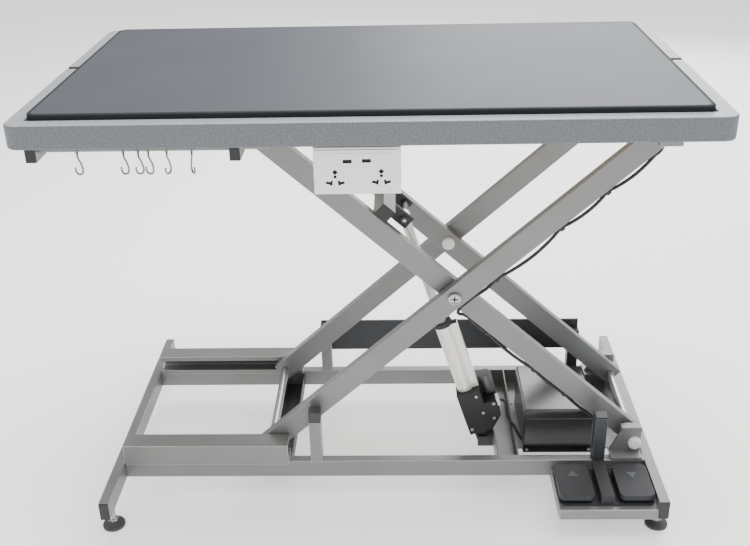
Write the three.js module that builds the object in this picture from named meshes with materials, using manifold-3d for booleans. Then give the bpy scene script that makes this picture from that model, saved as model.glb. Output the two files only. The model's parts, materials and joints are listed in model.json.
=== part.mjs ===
// Electric scissor-lift exam table: millimetres, +X right, +Y back, +Z up, origin on the floor
// under the middle of the table top. Drawn at the height the table stands at, arms raised.
import * as THREE from 'three';
import { mergeVertices } from 'three/addons/utils/BufferGeometryUtils.js';
import Module from 'manifold-3d';

const wasm = await Module();
wasm.setup();

// Fits
const FIT = 0.3;            // between faces that lie against each other
const PIN_FIT = 0.4;        // radial, round a pin that does not turn in its hole
const RUN_FIT = 0.6;        // radial, round a pin that turns in its hole
const SIDE_PLAY = 2;        // between an arm and the rail or bracket beside it
const ROLL_PLAY = 0.6;      // between a roller and its rail

// Table top
const TOP_LENGTH = 1200;
const TOP_WIDTH = 700;
const RIM_HEIGHT = 42;
const RIM_WIDTH = 31;
const RIM_CORNER = 24;
const MAT_THICK = 12;
const MAT_PROUD = 9;
const SLOT_WIDTH = 10;
const SLOT_DEPTH = 24;
const SLOT_Y = 20;

// Base frame
const BASE_LENGTH = 1140;
const BASE_DEPTH = 650;
const BASE_PAST = 38;       // base beyond the lower pivot
const FLOOR_GAP = 50;
const TUBE_WIDTH = 20;
const TUBE_HEIGHT = 40;
const TUBE_WALL = 2;
const SIDE_TUBE_Y = 179;

// Scissor arms
const LIFT_ANGLE = THREE.MathUtils.degToRad(41.86);
const ARM_HALF = 517;
const ARM_WIDTH = 20;
const ARM_HEIGHT = 44;
const ARM_WALL = 2;
const ARM_OVERHANG = 14;
const ARM_SPACER = 7;
const OUTER_ARM_Y = 145;
const PIVOT_INSET = 58;     // pivots from the right end of the top
const AXLE_R = 9;
const BOLT_R = 8;
const BOLT_HEAD_R = 12;
const BOLT_HEAD_H = 5;
const BOLT_CAP_R = 13;
const BOLT_CAP_H = 9;

// Roller rails, the same section below and above
const RAIL_WIDTH = 44;
const RAIL_HEIGHT = 48;
const RAIL_WALL = 3;
const RAIL_LIP = 8;
const RAIL_PAST = 40;       // rail beyond the middle of the roller
const LOWER_RAIL_INSET = 4;
const UPPER_RAIL_INSET = 45;
const ROLLER_WIDTH = 28;

// Upper frame
const MEMBER_WIDTH = 34;
const MEMBER_HEIGHT = 15;
const MEMBER_INSET = 30;

// Pivot brackets
const BRACKET_LENGTH = 42;
const BRACKET_BEHIND = 13;
const BRACKET_WIDTH = 20;
const BRACKET_RISE = 32;
const BRACKET_WALL = 4;
const BRACKET_STANDOFF = 10;
const GUSSET_LENGTH = 24;
const SHAFT_CAP_R = 13;
const SHAFT_CAP_H = 9;

// Stop posts and the bar behind them
const POST_SIZE = 25;
const POST_GAP = 45.5;      // between a lower rail and its stop post
const POST_REACH = 80;      // right posts before the lower pivot
const POST_HEIGHT = 98;
const POST_RIGHT_HEIGHT = 105;
const CAP_HEIGHT = 25;
const CAP_PLUG = 12;
const BAR_HEIGHT = 80;
const BAR_THICK = 5;
const BAR_BOTTOM = 137;

// Cross members of the base
const CHANNEL_WIDTH = 46;
const CHANNEL_WALL = 3;
const MID_CHANNEL_STEP = 19; // from the middle of the rollers
const MID_CHANNEL_HEIGHT = 30;
const LIFT_CHANNEL_REACH = 266;

// Levelling feet
const FOOT_INSET = 41;
const PAD_R = 23;
const PAD_HEIGHT = 12;
const STEM_R = 6;
const STEM_TOP = 70;

// Linear actuator
const ACT_Y = -63;
const PIN_R = 6;
const LOW_PIN_REACH = 21;
const LOW_PIN_Z = 58.5;
const EAR_R = 13;
const EAR_THICK = 20;
const CLEVIS_PLATE = 5;
const TUBE_R = 18;
const TUBE_BORE = 13;
const TUBE_FOOT = 97;
const TUBE_END = 305;
const STRIP_OUT = 30;
const STRIP_WIDE = 18;
const COLLAR_R = 20.5;
const COLLAR_H = 9;
const ROD_R = 10;
const ROD_FOOT = 275;
const GEAR_THICK = 58;
const GEAR_FOOT = 35;
const GEAR_HEAD = 140;
const GEAR_SHOULDER = 105;
const GEAR_LEFT = 21;
const GEAR_RIGHT = 57;
const MOTOR_R = 15;
const MOTOR_OUT = 46;
const MOTOR_Y = -46;
const MOTOR_LENGTH = 48;

// Lift cross tube on the inner arms, with the lugs that take the rod
const LIFT_TUBE = 30;
const LIFT_TUBE_WALL = 2.5;
const LIFT_TUBE_U = 216;
const EYE_R = 12;
const EYE_THICK = 22;
const LUG_U = 164.7;
const LUG_PLATE = 5;
const LUG_HALF = 14;
const LUG_TO_LUG = 79;

// Control box and foot switch
const BOX_LENGTH = 150;
const BOX_WIDTH = 180;
const BOX_HEIGHT = 98;
const BOX_REACH = 150;
const BOX_Y = -8;
const PLATE_THICK = 3;
const TRAY_LENGTH = 196;
const TRAY_TOP = 70;
const TRAY_SHEET = 2.5;
const TRAY_LIP = 24;
const PEDAL_WIDTH = 70;
const PEDAL_LENGTH = 103;
const PEDAL_THICK = 12;
const PEDAL_CORNER = 12;
const PEDAL_PITCH = 120;
const PEDAL_TRAVEL = 7.5;
const PEDAL_INSET = 97;
const PEDAL_SETBACK = 16.7;
const RIDGE_WIDTH = 26;
const SWITCH_SHEET = 3;

// Hook rail, hooks and socket box
const HOOK_ARM_WIDTH = 18;
const HOOK_ARM_HEIGHT = 26;
const HOOK_ARM_INSET = 38;
const HOOK_ROD_LENGTH = 341;
const HOOK_ARM_SETBACK = 15;
const HOOK_ROD_R = 4;
const HOOK_ROD_SETBACK = 30;
const HOOK_ROD_DROP = 9;
const WIRE_R = 1.5;
const HOOK_DROP = 45.5;
const HOOK_BEND = 6;
const HOOK_STEPS = [73, 151, 176, 193, 224, 266];
const HOOK_TURNS = [0, 0, 8, 0, 56, 125];
const SOCKET_WIDTH = 146;
const SOCKET_HEIGHT = 82;
const SOCKET_DEPTH = 42;
const SOCKET_X = -19;
const SOCKET_SETBACK = 15;
const SOCKET_DROP = 6;
const SOCKET_SHEET = 3;

// Leads
const LEAD_R = 3;
const LEAD_STEP = 16;
const LEAD_FROM = 30;
const LEAD_TO = 440;
const LEAD_CLEAR = 4;       // between the gearbox, which swings, and the lead beside it

// Levels and places that follow from the sizes above
const baseTop = FLOOR_GAP + TUBE_HEIGHT;
const lowerZ = baseTop + FIT + RAIL_HEIGHT / 2;
const upperZ = lowerZ + 2 * ARM_HALF * Math.sin(LIFT_ANGLE);
const memberZ = upperZ + RAIL_HEIGHT / 2;
const topZ = memberZ + MEMBER_HEIGHT + FIT;
const rimTop = topZ + RIM_HEIGHT;
const topLeft = -TOP_LENGTH / 2;
const topRight = TOP_LENGTH / 2;
const topFront = -TOP_WIDTH / 2;
const pivotX = topRight - PIVOT_INSET;
const midX = pivotX - ARM_HALF * Math.cos(LIFT_ANGLE);
const midZ = (lowerZ + upperZ) / 2;
const rollX = pivotX - 2 * ARM_HALF * Math.cos(LIFT_ANGLE);
const baseRight = pivotX + BASE_PAST;
const baseLeft = baseRight - BASE_LENGTH;
const railRight = rollX + RAIL_PAST;
const lowerRailLeft = baseLeft + TUBE_WIDTH + LOWER_RAIL_INSET;
const upperRailLeft = topLeft + UPPER_RAIL_INSET;
const memberLeft = topLeft + MEMBER_INSET;
const memberRight = topRight - MEMBER_INSET;
const postLeftX = railRight + POST_GAP + POST_SIZE / 2;
const postRightX = pivotX - POST_REACH;
const midChannelX = rollX + MID_CHANNEL_STEP;
const liftChannelX = pivotX - LIFT_CHANNEL_REACH;
const boxX = pivotX - BOX_REACH;
const trayLeft = baseRight - TUBE_WIDTH - TRAY_LENGTH;
const pedalX = trayLeft + PEDAL_INSET;
const hookArmLeft = topLeft + HOOK_ARM_INSET;
const hookArmRight = hookArmLeft + HOOK_ROD_LENGTH;
const hookArmFront = topFront + HOOK_ARM_SETBACK;
const hookRodY = topFront + HOOK_ROD_SETBACK;
const socketFront = topFront + SOCKET_SETBACK;
const innerArmY = OUTER_ARM_Y - ARM_WIDTH - ARM_SPACER;
const outerFace = OUTER_ARM_Y + ARM_WIDTH / 2;
const innerFace = innerArmY + ARM_WIDTH / 2;
const lowerRailY = outerFace + SIDE_PLAY;
const upperRailY = innerFace + SIDE_PLAY;
const rollerR = RAIL_HEIGHT / 2 - RAIL_WALL - ROLL_PLAY;
const liftLeft = liftChannelX - CHANNEL_WIDTH / 2;
const lowPinX = liftLeft - LOW_PIN_REACH;
const liftTubeV = ARM_HEIGHT / 2 + FIT + LIFT_TUBE / 2;
const topPinX = midX - LUG_U * Math.cos(LIFT_ANGLE) + liftTubeV * Math.sin(LIFT_ANGLE);
const topPinZ = midZ + LUG_U * Math.sin(LIFT_ANGLE) + liftTubeV * Math.cos(LIFT_ANGLE);
const actTilt = Math.atan2(topPinX - lowPinX, topPinZ - LOW_PIN_Z);
const actLength = Math.hypot(topPinX - lowPinX, topPinZ - LOW_PIN_Z);
const sides = { front: -1, rear: 1 };

// Finishes
const finish = (colour, roughness, metalness) =>
  new THREE.MeshStandardMaterial({ color: colour, roughness, metalness });
const greyPaint = finish(0x9c9d99, 0.45, 0.35);
const darkPaint = finish(0x3a3c3e, 0.55, 0.2);
const zincSteel = finish(0xb9babb, 0.35, 0.85);
const chrome = finish(0xd6d8da, 0.12, 1);
const blackPlastic = finish(0x222426, 0.5, 0);
const charcoal = finish(0x44474b, 0.6, 0);
const rubber = finish(0x1b1c1d, 0.85, 0);
const whitePlastic = finish(0xf1f1ee, 0.35, 0);
const whiteNylon = finish(0xe9e8e2, 0.5, 0);
const greyRim = finish(0xc3c4c3, 0.6, 0);
const board = finish(0xb89a6f, 0.75, 0);
const matTop = finish(0x4c5056, 0.45, 0);
const silverTube = finish(0xd3d2cc, 0.3, 0.7);

// Turns a closed geometry into a solid that can be added and cut.
function solid(geometry) {
  const plain = geometry.clone();
  plain.deleteAttribute('normal');
  plain.deleteAttribute('uv');
  const merged = mergeVertices(plain, 1e-4);
  return new wasm.Manifold(new wasm.Mesh({
    numProp: 3,
    vertProperties: new Float32Array(merged.attributes.position.array),
    triVerts: new Uint32Array(merged.index.array),
  }));
}

// Block between two corners.
function block(x0, x1, y0, y1, z0, z1) {
  const geometry = new THREE.BoxGeometry(x1 - x0, y1 - y0, z1 - z0);
  geometry.translate((x0 + x1) / 2, (y0 + y1) / 2, (z0 + z1) / 2);
  return solid(geometry);
}

// Block on the front side (-1) or the rear side (1) of the table, y counted outwards.
function sideBlock(side, x0, x1, y0, y1, z0, z1) {
  const ys = [side * y0, side * y1];
  return block(x0, x1, Math.min(...ys), Math.max(...ys), z0, z1);
}

// Round bars along each axis; the ends may come in either order.
function barY(radius, x, z, y0, y1, steps = 20) {
  const geometry = new THREE.CylinderGeometry(radius, radius, Math.abs(y1 - y0), steps);
  geometry.translate(x, (y0 + y1) / 2, z);
  return solid(geometry);
}

function barZ(radius, x, y, z0, z1, tip = radius, steps = 20) {
  const geometry = new THREE.CylinderGeometry(tip, radius, z1 - z0, steps);
  geometry.rotateX(Math.PI / 2);
  geometry.translate(x, y, (z0 + z1) / 2);
  return solid(geometry);
}

function barX(radius, x0, x1, y, z, steps = 16) {
  const geometry = new THREE.CylinderGeometry(radius, radius, x1 - x0, steps);
  geometry.rotateZ(Math.PI / 2);
  geometry.translate((x0 + x1) / 2, y, z);
  return solid(geometry);
}

// Outline in the XY plane, raised from z0 to z1.
function slab(shape, z0, z1) {
  const geometry = new THREE.ExtrudeGeometry(shape, {
    depth: z1 - z0, bevelEnabled: false, curveSegments: 5,
  });
  geometry.translate(0, 0, z0);
  return solid(geometry);
}

// Outline of x, z points, thickened from y0 to y1.
function plateXZ(points, y0, y1) {
  const shape = new THREE.Shape(points.map(([x, z]) => new THREE.Vector2(x, z)));
  const geometry = new THREE.ExtrudeGeometry(shape, { depth: y1 - y0, bevelEnabled: false });
  geometry.rotateX(Math.PI / 2);
  geometry.translate(0, y1, 0);
  return solid(geometry);
}

// Rectangle with rounded corners about a centre.
function roundedRect(cx, cy, width, depth, radius) {
  const shape = new THREE.Shape();
  const right = cx + width / 2 - radius;
  const left = cx - width / 2 + radius;
  const back = cy + depth / 2 - radius;
  const front = cy - depth / 2 + radius;
  shape.absarc(right, front, radius, -Math.PI / 2, 0);
  shape.absarc(right, back, radius, 0, Math.PI / 2);
  shape.absarc(left, back, radius, Math.PI / 2, Math.PI);
  shape.absarc(left, front, radius, Math.PI, 1.5 * Math.PI);
  return shape;
}

// Round wire through a run of points.
function wire(points, radius, steps) {
  const ring = new THREE.Shape();
  ring.absarc(0, 0, radius, 0, 2 * Math.PI);
  const spots = points.map((p) => new THREE.Vector3(...p));
  const geometry = new THREE.ExtrudeGeometry(ring, {
    steps, extrudePath: new THREE.CatmullRomCurve3(spots, false, 'centripetal'),
    bevelEnabled: false, curveSegments: 3,
  });
  return solid(geometry);
}

// Square-section tubes, open at both ends.
function tubeX(x0, x1, y0, y1, z0, z1, wall) {
  const bore = block(x0 - 1, x1 + 1, y0 + wall, y1 - wall, z0 + wall, z1 - wall);
  return block(x0, x1, y0, y1, z0, z1).subtract(bore);
}

function tubeY(x0, x1, y0, y1, z0, z1, wall) {
  const bore = block(x0 + wall, x1 - wall, y0 - 1, y1 + 1, z0 + wall, z1 - wall);
  return block(x0, x1, y0, y1, z0, z1).subtract(bore);
}

// Folded channel along Y, open at the top.
function channelY(x, y, z0, z1) {
  const half = CHANNEL_WIDTH / 2;
  const room = half - CHANNEL_WALL;
  const bore = block(x - room, x + room, -y - 1, y + 1, z0 + CHANNEL_WALL, z1 + 1);
  return block(x - half, x + half, -y, y, z0, z1).subtract(bore);
}

// Lipped roller rail along X, its mouth facing the middle of the table.
function rail(side, x0, yIn, z) {
  const half = RAIL_HEIGHT / 2;
  const room = half - RAIL_WALL;
  const mouth = room - RAIL_LIP;
  const yOut = yIn + RAIL_WIDTH;
  return sideBlock(side, x0, railRight, yIn, yOut, z - half, z + half)
    .subtract(sideBlock(side, x0 - 1, railRight + 1, yIn + RAIL_WALL, yOut - RAIL_WALL, z - room, z + room))
    .subtract(sideBlock(side, x0 - 1, railRight + 1, yIn - 1, yIn + RAIL_WALL + 1, z - mouth, z + mouth));
}

// Places a solid drawn flat about its own pivot: turned about Y, then moved.
function place(body, turn, x, z, y = 0) {
  return body.rotate([0, THREE.MathUtils.radToDeg(turn), 0]).translate([x, y, z]);
}

const join = (...parts) => wasm.Manifold.union(parts);
const group = new THREE.Group();

// Adds one finished piece to the table.
function piece(name, body, material) {
  const data = body.getMesh();
  const geometry = new THREE.BufferGeometry();
  geometry.setAttribute('position', new THREE.BufferAttribute(new Float32Array(data.vertProperties), 3));
  geometry.setIndex(new THREE.BufferAttribute(new Uint32Array(data.triVerts), 1));
  geometry.computeVertexNormals();
  const mesh = new THREE.Mesh(geometry, material);
  mesh.name = name;
  group.add(mesh);
}

// Base cross tubes, each drilled below for two levelling feet, and the feet themselves.
const footY = BASE_DEPTH / 2 - FOOT_INSET;
for (const [end, x0] of [['left', baseLeft], ['right', baseRight - TUBE_WIDTH]]) {
  const footX = x0 + TUBE_WIDTH / 2;
  const hole = (y) => barZ(STEM_R + RUN_FIT, footX, y, FLOOR_GAP - 1, FLOOR_GAP + TUBE_WALL + 1);
  const tube = tubeY(x0, x0 + TUBE_WIDTH, -BASE_DEPTH / 2, BASE_DEPTH / 2, FLOOR_GAP, baseTop, TUBE_WALL);
  piece(`cross_tube_${end}`, tube.subtract(hole(-footY)).subtract(hole(footY)), greyPaint);
  for (const [name, side] of Object.entries(sides)) {
    const pad = barZ(PAD_R, footX, side * footY, 0, PAD_HEIGHT / 2);
    const cone = barZ(PAD_R, footX, side * footY, PAD_HEIGHT / 2, PAD_HEIGHT, STEM_R + 4);
    const stem = barZ(STEM_R, footX, side * footY, PAD_HEIGHT / 2, STEM_TOP, STEM_R, 14);
    piece(`foot_${name}_${end}`, join(pad, cone, stem), rubber);
  }
}

// Pieces that stand once at the front and once at the rear.
for (const [name, side] of Object.entries(sides)) {
  const tubeIn = SIDE_TUBE_Y - TUBE_WIDTH / 2;
  const tubeOut = SIDE_TUBE_Y + TUBE_WIDTH / 2;
  const left = baseLeft + TUBE_WIDTH + FIT;
  const right = baseRight - TUBE_WIDTH - FIT;
  const tubeYs = [side * tubeIn, side * tubeOut].sort((a, b) => a - b);
  piece(`side_tube_${name}`, tubeX(left, right, ...tubeYs, FLOOR_GAP, baseTop, TUBE_WALL), greyPaint);
  piece(`lower_rail_${name}`, rail(side, lowerRailLeft, lowerRailY, lowerZ), greyPaint);

  // Stop posts: square tubes; the left ones carry a rubber cap plugged into the tube.
  const half = POST_SIZE / 2;
  const room = half - TUBE_WALL;
  const postFoot = baseTop + FIT;
  const square = (x, reach, z0, z1) => sideBlock(side, x - reach, x + reach, SIDE_TUBE_Y - reach,
    SIDE_TUBE_Y + reach, z0, z1);
  const post = (x, top) => square(x, half, postFoot, top).subtract(square(x, room, postFoot - 1, top + 1));
  const leftTop = postFoot + POST_HEIGHT;
  const capFoot = leftTop + FIT;
  piece(`stop_post_${name}_left`, post(postLeftX, leftTop), greyPaint);
  piece(`stop_post_${name}_right`, post(postRightX, postFoot + POST_RIGHT_HEIGHT), darkPaint);
  piece(`stop_cap_${name}`, join(square(postLeftX, half, capFoot, capFoot + CAP_HEIGHT),
    square(postLeftX, room - FIT, capFoot - CAP_PLUG, capFoot + 1)), rubber);

  // Lower pivot bracket: upright box on a foot that reaches the side tube, with a gusset.
  const bracketL = pivotX + BRACKET_BEHIND - BRACKET_LENGTH;
  const bracketR = pivotX + BRACKET_BEHIND;
  const bracketIn = innerFace + BRACKET_STANDOFF;
  const bracketOut = bracketIn + BRACKET_WIDTH;
  const bracketFoot = baseTop + FIT;
  const bracketTop = lowerZ + BRACKET_RISE;
  const lowerBox = sideBlock(side, bracketL, bracketR, bracketIn, bracketOut, bracketFoot, bracketTop);
  const lowerBore = sideBlock(side, bracketL + BRACKET_WALL, bracketR - BRACKET_WALL,
    bracketIn + BRACKET_WALL, bracketOut - BRACKET_WALL, bracketFoot + BRACKET_WALL, bracketTop + 1);
  const lowerFoot = sideBlock(side, bracketL - GUSSET_LENGTH, bracketR, bracketIn, tubeOut,
    bracketFoot, bracketFoot + BRACKET_WALL);
  const gussetYs = [side * bracketOut, side * (bracketOut - BRACKET_WALL)].sort((a, b) => a - b);
  const gusset = plateXZ([[bracketL - GUSSET_LENGTH, bracketFoot], [bracketL + 1, bracketFoot],
    [bracketL + 1, bracketTop]], ...gussetYs);
  const shaftHole = barY(AXLE_R + PIN_FIT, pivotX, lowerZ, side * (bracketIn - 1), side * (bracketOut + 1));
  piece(`pivot_bracket_${name}`, join(lowerBox.subtract(lowerBore), lowerFoot, gusset).subtract(shaftHole),
    greyPaint);

  // Scissor arms: rectangular tubes drilled at both ends and the middle.
  const reach = ARM_HALF + ARM_OVERHANG;
  const arm = (y, leftFit, midFit, rightFit) => {
    const ys = [y - ARM_WIDTH / 2, y + ARM_WIDTH / 2];
    const drill = (r, x) => barY(r, x, 0, ys[0] - 1, ys[1] + 1);
    return tubeX(-reach, reach, ...ys, -ARM_HEIGHT / 2, ARM_HEIGHT / 2, ARM_WALL)
      .subtract(drill(AXLE_R + leftFit, -ARM_HALF))
      .subtract(drill(BOLT_R + midFit, 0))
      .subtract(drill(AXLE_R + rightFit, ARM_HALF));
  };
  const outer = arm(side * OUTER_ARM_Y, PIN_FIT, RUN_FIT, RUN_FIT);
  piece(`outer_arm_${name}`, place(outer, -LIFT_ANGLE, midX, midZ), greyPaint);

  // The inner arm carries the middle pivot: bolt, spacer between the arms, head and nylon cap.
  const armIn = innerArmY - ARM_WIDTH / 2;
  const headIn = outerFace + FIT;
  const bolt = barY(BOLT_R, 0, 0, side * (armIn - BOLT_CAP_H), side * (headIn + BOLT_HEAD_H));
  const spacer = barY(BOLT_HEAD_R, 0, 0, side * innerFace, side * (innerFace + ARM_SPACER - FIT));
  const head = barY(BOLT_HEAD_R, 0, 0, side * headIn, side * (headIn + BOLT_HEAD_H));
  const nylon = barY(BOLT_CAP_R, 0, 0, side * (armIn - BOLT_CAP_H), side * armIn);
  const inner = join(arm(side * innerArmY, PIN_FIT, -1, RUN_FIT), bolt, spacer, head, nylon);
  piece(`inner_arm_${name}`, place(inner, LIFT_ANGLE, midX, midZ), greyPaint);

  // Rollers: the outer arms' run in the lower rails, the inner arms' in the upper rails.
  for (const [level, yIn, z] of [['lower', lowerRailY, lowerZ], ['upper', upperRailY, upperZ]]) {
    const y0 = side * (yIn + RAIL_WIDTH / 2 - ROLLER_WIDTH / 2);
    const y1 = side * (yIn + RAIL_WIDTH / 2 + ROLLER_WIDTH / 2);
    const bore = barY(AXLE_R + RUN_FIT, rollX, z, y0 - side, y1 + side);
    piece(`${level}_roller_${name}`, barY(rollerR, rollX, z, y0, y1).subtract(bore), whiteNylon);
  }

  // Upper rail welded under the flat side member of the table.
  const memberIn = outerFace + SIDE_PLAY;
  const memberYs = [side * memberIn, side * (memberIn + MEMBER_WIDTH)].sort((a, b) => a - b);
  const member = tubeX(memberLeft, memberRight, ...memberYs, memberZ, memberZ + MEMBER_HEIGHT,
    TUBE_WALL);
  piece(`upper_rail_${name}`, join(rail(side, upperRailLeft, upperRailY, upperZ), member), greyPaint);

  // Upper pivot bracket with its pin through the outer arm.
  const hangL = pivotX - BRACKET_LENGTH / 2;
  const hangR = pivotX + BRACKET_LENGTH / 2;
  const hangFoot = upperZ - BRACKET_RISE + BRACKET_WALL;
  const hangOut = memberIn + BRACKET_WIDTH;
  const hangBox = sideBlock(side, hangL, hangR, memberIn, hangOut, hangFoot, memberZ - FIT);
  const hangBore = sideBlock(side, hangL + BRACKET_WALL, hangR - BRACKET_WALL, memberIn + BRACKET_WALL,
    hangOut - BRACKET_WALL, hangFoot - 1, memberZ - FIT - BRACKET_WALL);
  const hangPin = barY(AXLE_R, pivotX, upperZ, side * (outerFace - ARM_WIDTH - SIDE_PLAY), side * hangOut);
  piece(`upper_bracket_${name}`, join(hangBox.subtract(hangBore), hangPin), greyPaint);
}

// Shaft through the lower brackets, with spacers beside the inner arms and nylon caps outside.
const bracketIn = innerFace + BRACKET_STANDOFF;
const capStart = bracketIn + BRACKET_WIDTH + FIT;
const shaftEnd = capStart + SHAFT_CAP_H;
const shaftParts = [barY(AXLE_R, pivotX, lowerZ, -shaftEnd, shaftEnd)];
for (const side of Object.values(sides)) {
  shaftParts.push(barY(SHAFT_CAP_R, pivotX, lowerZ, side * capStart, side * shaftEnd));
  shaftParts.push(barY(SHAFT_CAP_R, pivotX, lowerZ, side * (innerFace + SIDE_PLAY), side * (bracketIn - FIT)));
}
piece('lower_pivot_shaft', join(...shaftParts), whiteNylon);

// Roller axles across the arms.
const axleEnd = RAIL_WIDTH - RAIL_WALL - SIDE_PLAY;
const lowerAxleEnd = lowerRailY + axleEnd;
const upperAxleEnd = upperRailY + axleEnd;
piece('lower_axle', barY(AXLE_R, rollX, lowerZ, -lowerAxleEnd, lowerAxleEnd), zincSteel);
piece('upper_axle', barY(AXLE_R, rollX, upperZ, -upperAxleEnd, upperAxleEnd), zincSteel);

// Flat bar behind the rear posts.
const barFront = SIDE_TUBE_Y + POST_SIZE / 2 + FIT;
piece('rear_bar', block(postLeftX - POST_SIZE / 2, postRightX + POST_SIZE / 2, barFront,
  barFront + BAR_THICK, BAR_BOTTOM, BAR_BOTTOM + BAR_HEIGHT), darkPaint);

// Cross channels of the base; the right one carries the actuator's lower clevis and pin.
const channelEnd = SIDE_TUBE_Y - TUBE_WIDTH / 2 - FIT;
piece('mid_cross_channel', channelY(midChannelX, channelEnd, FLOOR_GAP, FLOOR_GAP + MID_CHANNEL_HEIGHT),
  darkPaint);
const plateIn = EAR_THICK / 2 + RUN_FIT;
const plateOut = plateIn + CLEVIS_PLATE;
const clevis = [-1, 1].map((side) => {
  const ys = [ACT_Y + side * plateIn, ACT_Y + side * plateOut].sort((a, b) => a - b);
  return block(lowPinX - EAR_R, liftLeft + CHANNEL_WALL, ...ys, LOW_PIN_Z - EAR_R, LOW_PIN_Z + EAR_R);
});
const lowPin = barY(PIN_R, lowPinX, LOW_PIN_Z, ACT_Y - plateOut, ACT_Y + plateOut);
piece('lift_cross_channel', join(channelY(liftChannelX, channelEnd, FLOOR_GAP, baseTop), ...clevis, lowPin),
  greyPaint);

// Square tube across the inner arms with two lugs, their spacer and the ends of the long pin.
const tubeHalf = LIFT_TUBE / 2;
const tubeNear = tubeHalf - LIFT_TUBE_U;
const lugFront = ACT_Y - EYE_THICK / 2 - RUN_FIT;
const lugBack = lugFront + LUG_TO_LUG;
const lugPlate = (y0) => block(tubeNear - LIFT_TUBE_WALL, LUG_HALF - LUG_U, y0, y0 + LUG_PLATE,
  liftTubeV - LUG_HALF, liftTubeV + LUG_HALF);
const pinHead = (y0, y1) => barY(PIN_R + 3, -LUG_U, liftTubeV, y0, y1);
const liftTube = join(
  tubeY(-tubeHalf - LIFT_TUBE_U, tubeNear, -innerFace, innerFace, liftTubeV - tubeHalf,
    liftTubeV + tubeHalf, LIFT_TUBE_WALL),
  lugPlate(lugFront - LUG_PLATE),
  lugPlate(lugBack),
  pinHead(lugFront - 2 * LUG_PLATE, lugFront - LUG_PLATE),
  pinHead(ACT_Y + EYE_THICK / 2 + RUN_FIT, lugBack + 2 * LUG_PLATE),
);
piece('lift_cross_tube', place(liftTube, LIFT_ANGLE, midX, midZ), darkPaint);

// Actuator, drawn upright about its lower pin and then leaned to meet the lugs.
const lean = (body) => place(body, actTilt, lowPinX, LOW_PIN_Z, ACT_Y);
const strip = block(0, STRIP_OUT, -STRIP_WIDE / 2, STRIP_WIDE / 2, GEAR_HEAD + FIT, TUBE_END);
const collar = barZ(COLLAR_R, 0, 0, TUBE_END - 1, TUBE_END + COLLAR_H);
const housing = join(barZ(TUBE_R, 0, 0, TUBE_FOOT, TUBE_END), strip, collar)
  .subtract(barZ(TUBE_BORE, 0, 0, TUBE_FOOT + TUBE_WALL, TUBE_END - TUBE_WALL))
  .subtract(barZ(ROD_R + RUN_FIT, 0, 0, TUBE_END - 2 * TUBE_WALL, TUBE_END + COLLAR_H + 1));
piece('actuator_tube', lean(housing), silverTube);
const rod = barZ(ROD_R, 0, 0, ROD_FOOT, actLength);
const eye = barY(EYE_R, 0, actLength, -EYE_THICK / 2, EYE_THICK / 2);
piece('actuator_rod', lean(join(rod, eye)), chrome);
const gearBlock = plateXZ([[-GEAR_LEFT, GEAR_FOOT], [STRIP_OUT, GEAR_FOOT], [GEAR_RIGHT, GEAR_FOOT + STRIP_OUT],
  [GEAR_RIGHT, GEAR_SHOULDER], [STRIP_OUT, GEAR_SHOULDER], [STRIP_OUT, GEAR_HEAD],
  [-GEAR_LEFT, GEAR_HEAD]], -GEAR_THICK / 2, GEAR_THICK / 2);
const gearEar = join(barY(EAR_R, 0, 0, -EAR_THICK / 2, EAR_THICK / 2),
  block(-EAR_R, EAR_R, -EAR_THICK / 2, EAR_THICK / 2, 0, GEAR_FOOT + 1));
const gearbox = join(gearBlock, gearEar)
  .subtract(barZ(TUBE_R + PIN_FIT, 0, 0, TUBE_FOOT - FIT, GEAR_HEAD + 1))
  .subtract(barY(PIN_R + RUN_FIT, 0, 0, -EAR_THICK, EAR_THICK));
piece('actuator_gearbox', lean(gearbox), blackPlastic);
const motorFoot = GEAR_SHOULDER + FIT;
piece('actuator_motor', lean(barZ(MOTOR_R, MOTOR_OUT, MOTOR_Y - ACT_Y, motorFoot, motorFoot + MOTOR_LENGTH)),
  darkPaint);

// Control box on a plate between the actuator channel and the right cross tube.
const plateFoot = FLOOR_GAP + TUBE_WALL;
const boxFoot = plateFoot + PLATE_THICK;
const boxL = boxX - BOX_LENGTH / 2;
const boxFront = BOX_Y - BOX_WIDTH / 2;
const boxPlate = block(liftChannelX + CHANNEL_WIDTH / 2 + FIT, baseRight - TUBE_WIDTH - FIT, boxFront,
  boxFront + BOX_WIDTH, plateFoot, boxFoot);
const boxBody = slab(roundedRect(boxX, BOX_Y, BOX_LENGTH, BOX_WIDTH, PLATE_THICK), boxFoot - 1,
  boxFoot + BOX_HEIGHT);
piece('control_box', join(boxPlate, boxBody), blackPlastic);

// Sheet tray for the foot switch, hung between the front side tube and the right cross tube.
const trayFront = -BASE_DEPTH / 2;
const trayRight = baseRight - TUBE_WIDTH - FIT;
const trayBack = -SIDE_TUBE_Y - TUBE_WIDTH / 2 - FIT;
piece('pedal_tray', join(
  block(trayLeft, trayRight, trayFront, trayBack, TRAY_TOP - TRAY_SHEET, TRAY_TOP),
  block(trayLeft, trayRight, trayFront, trayFront + TRAY_SHEET, TRAY_TOP - TRAY_LIP, TRAY_TOP),
  block(trayLeft, trayLeft + TRAY_SHEET, trayFront, trayBack, TRAY_TOP - TRAY_LIP, TRAY_TOP),
), greyPaint);

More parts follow.
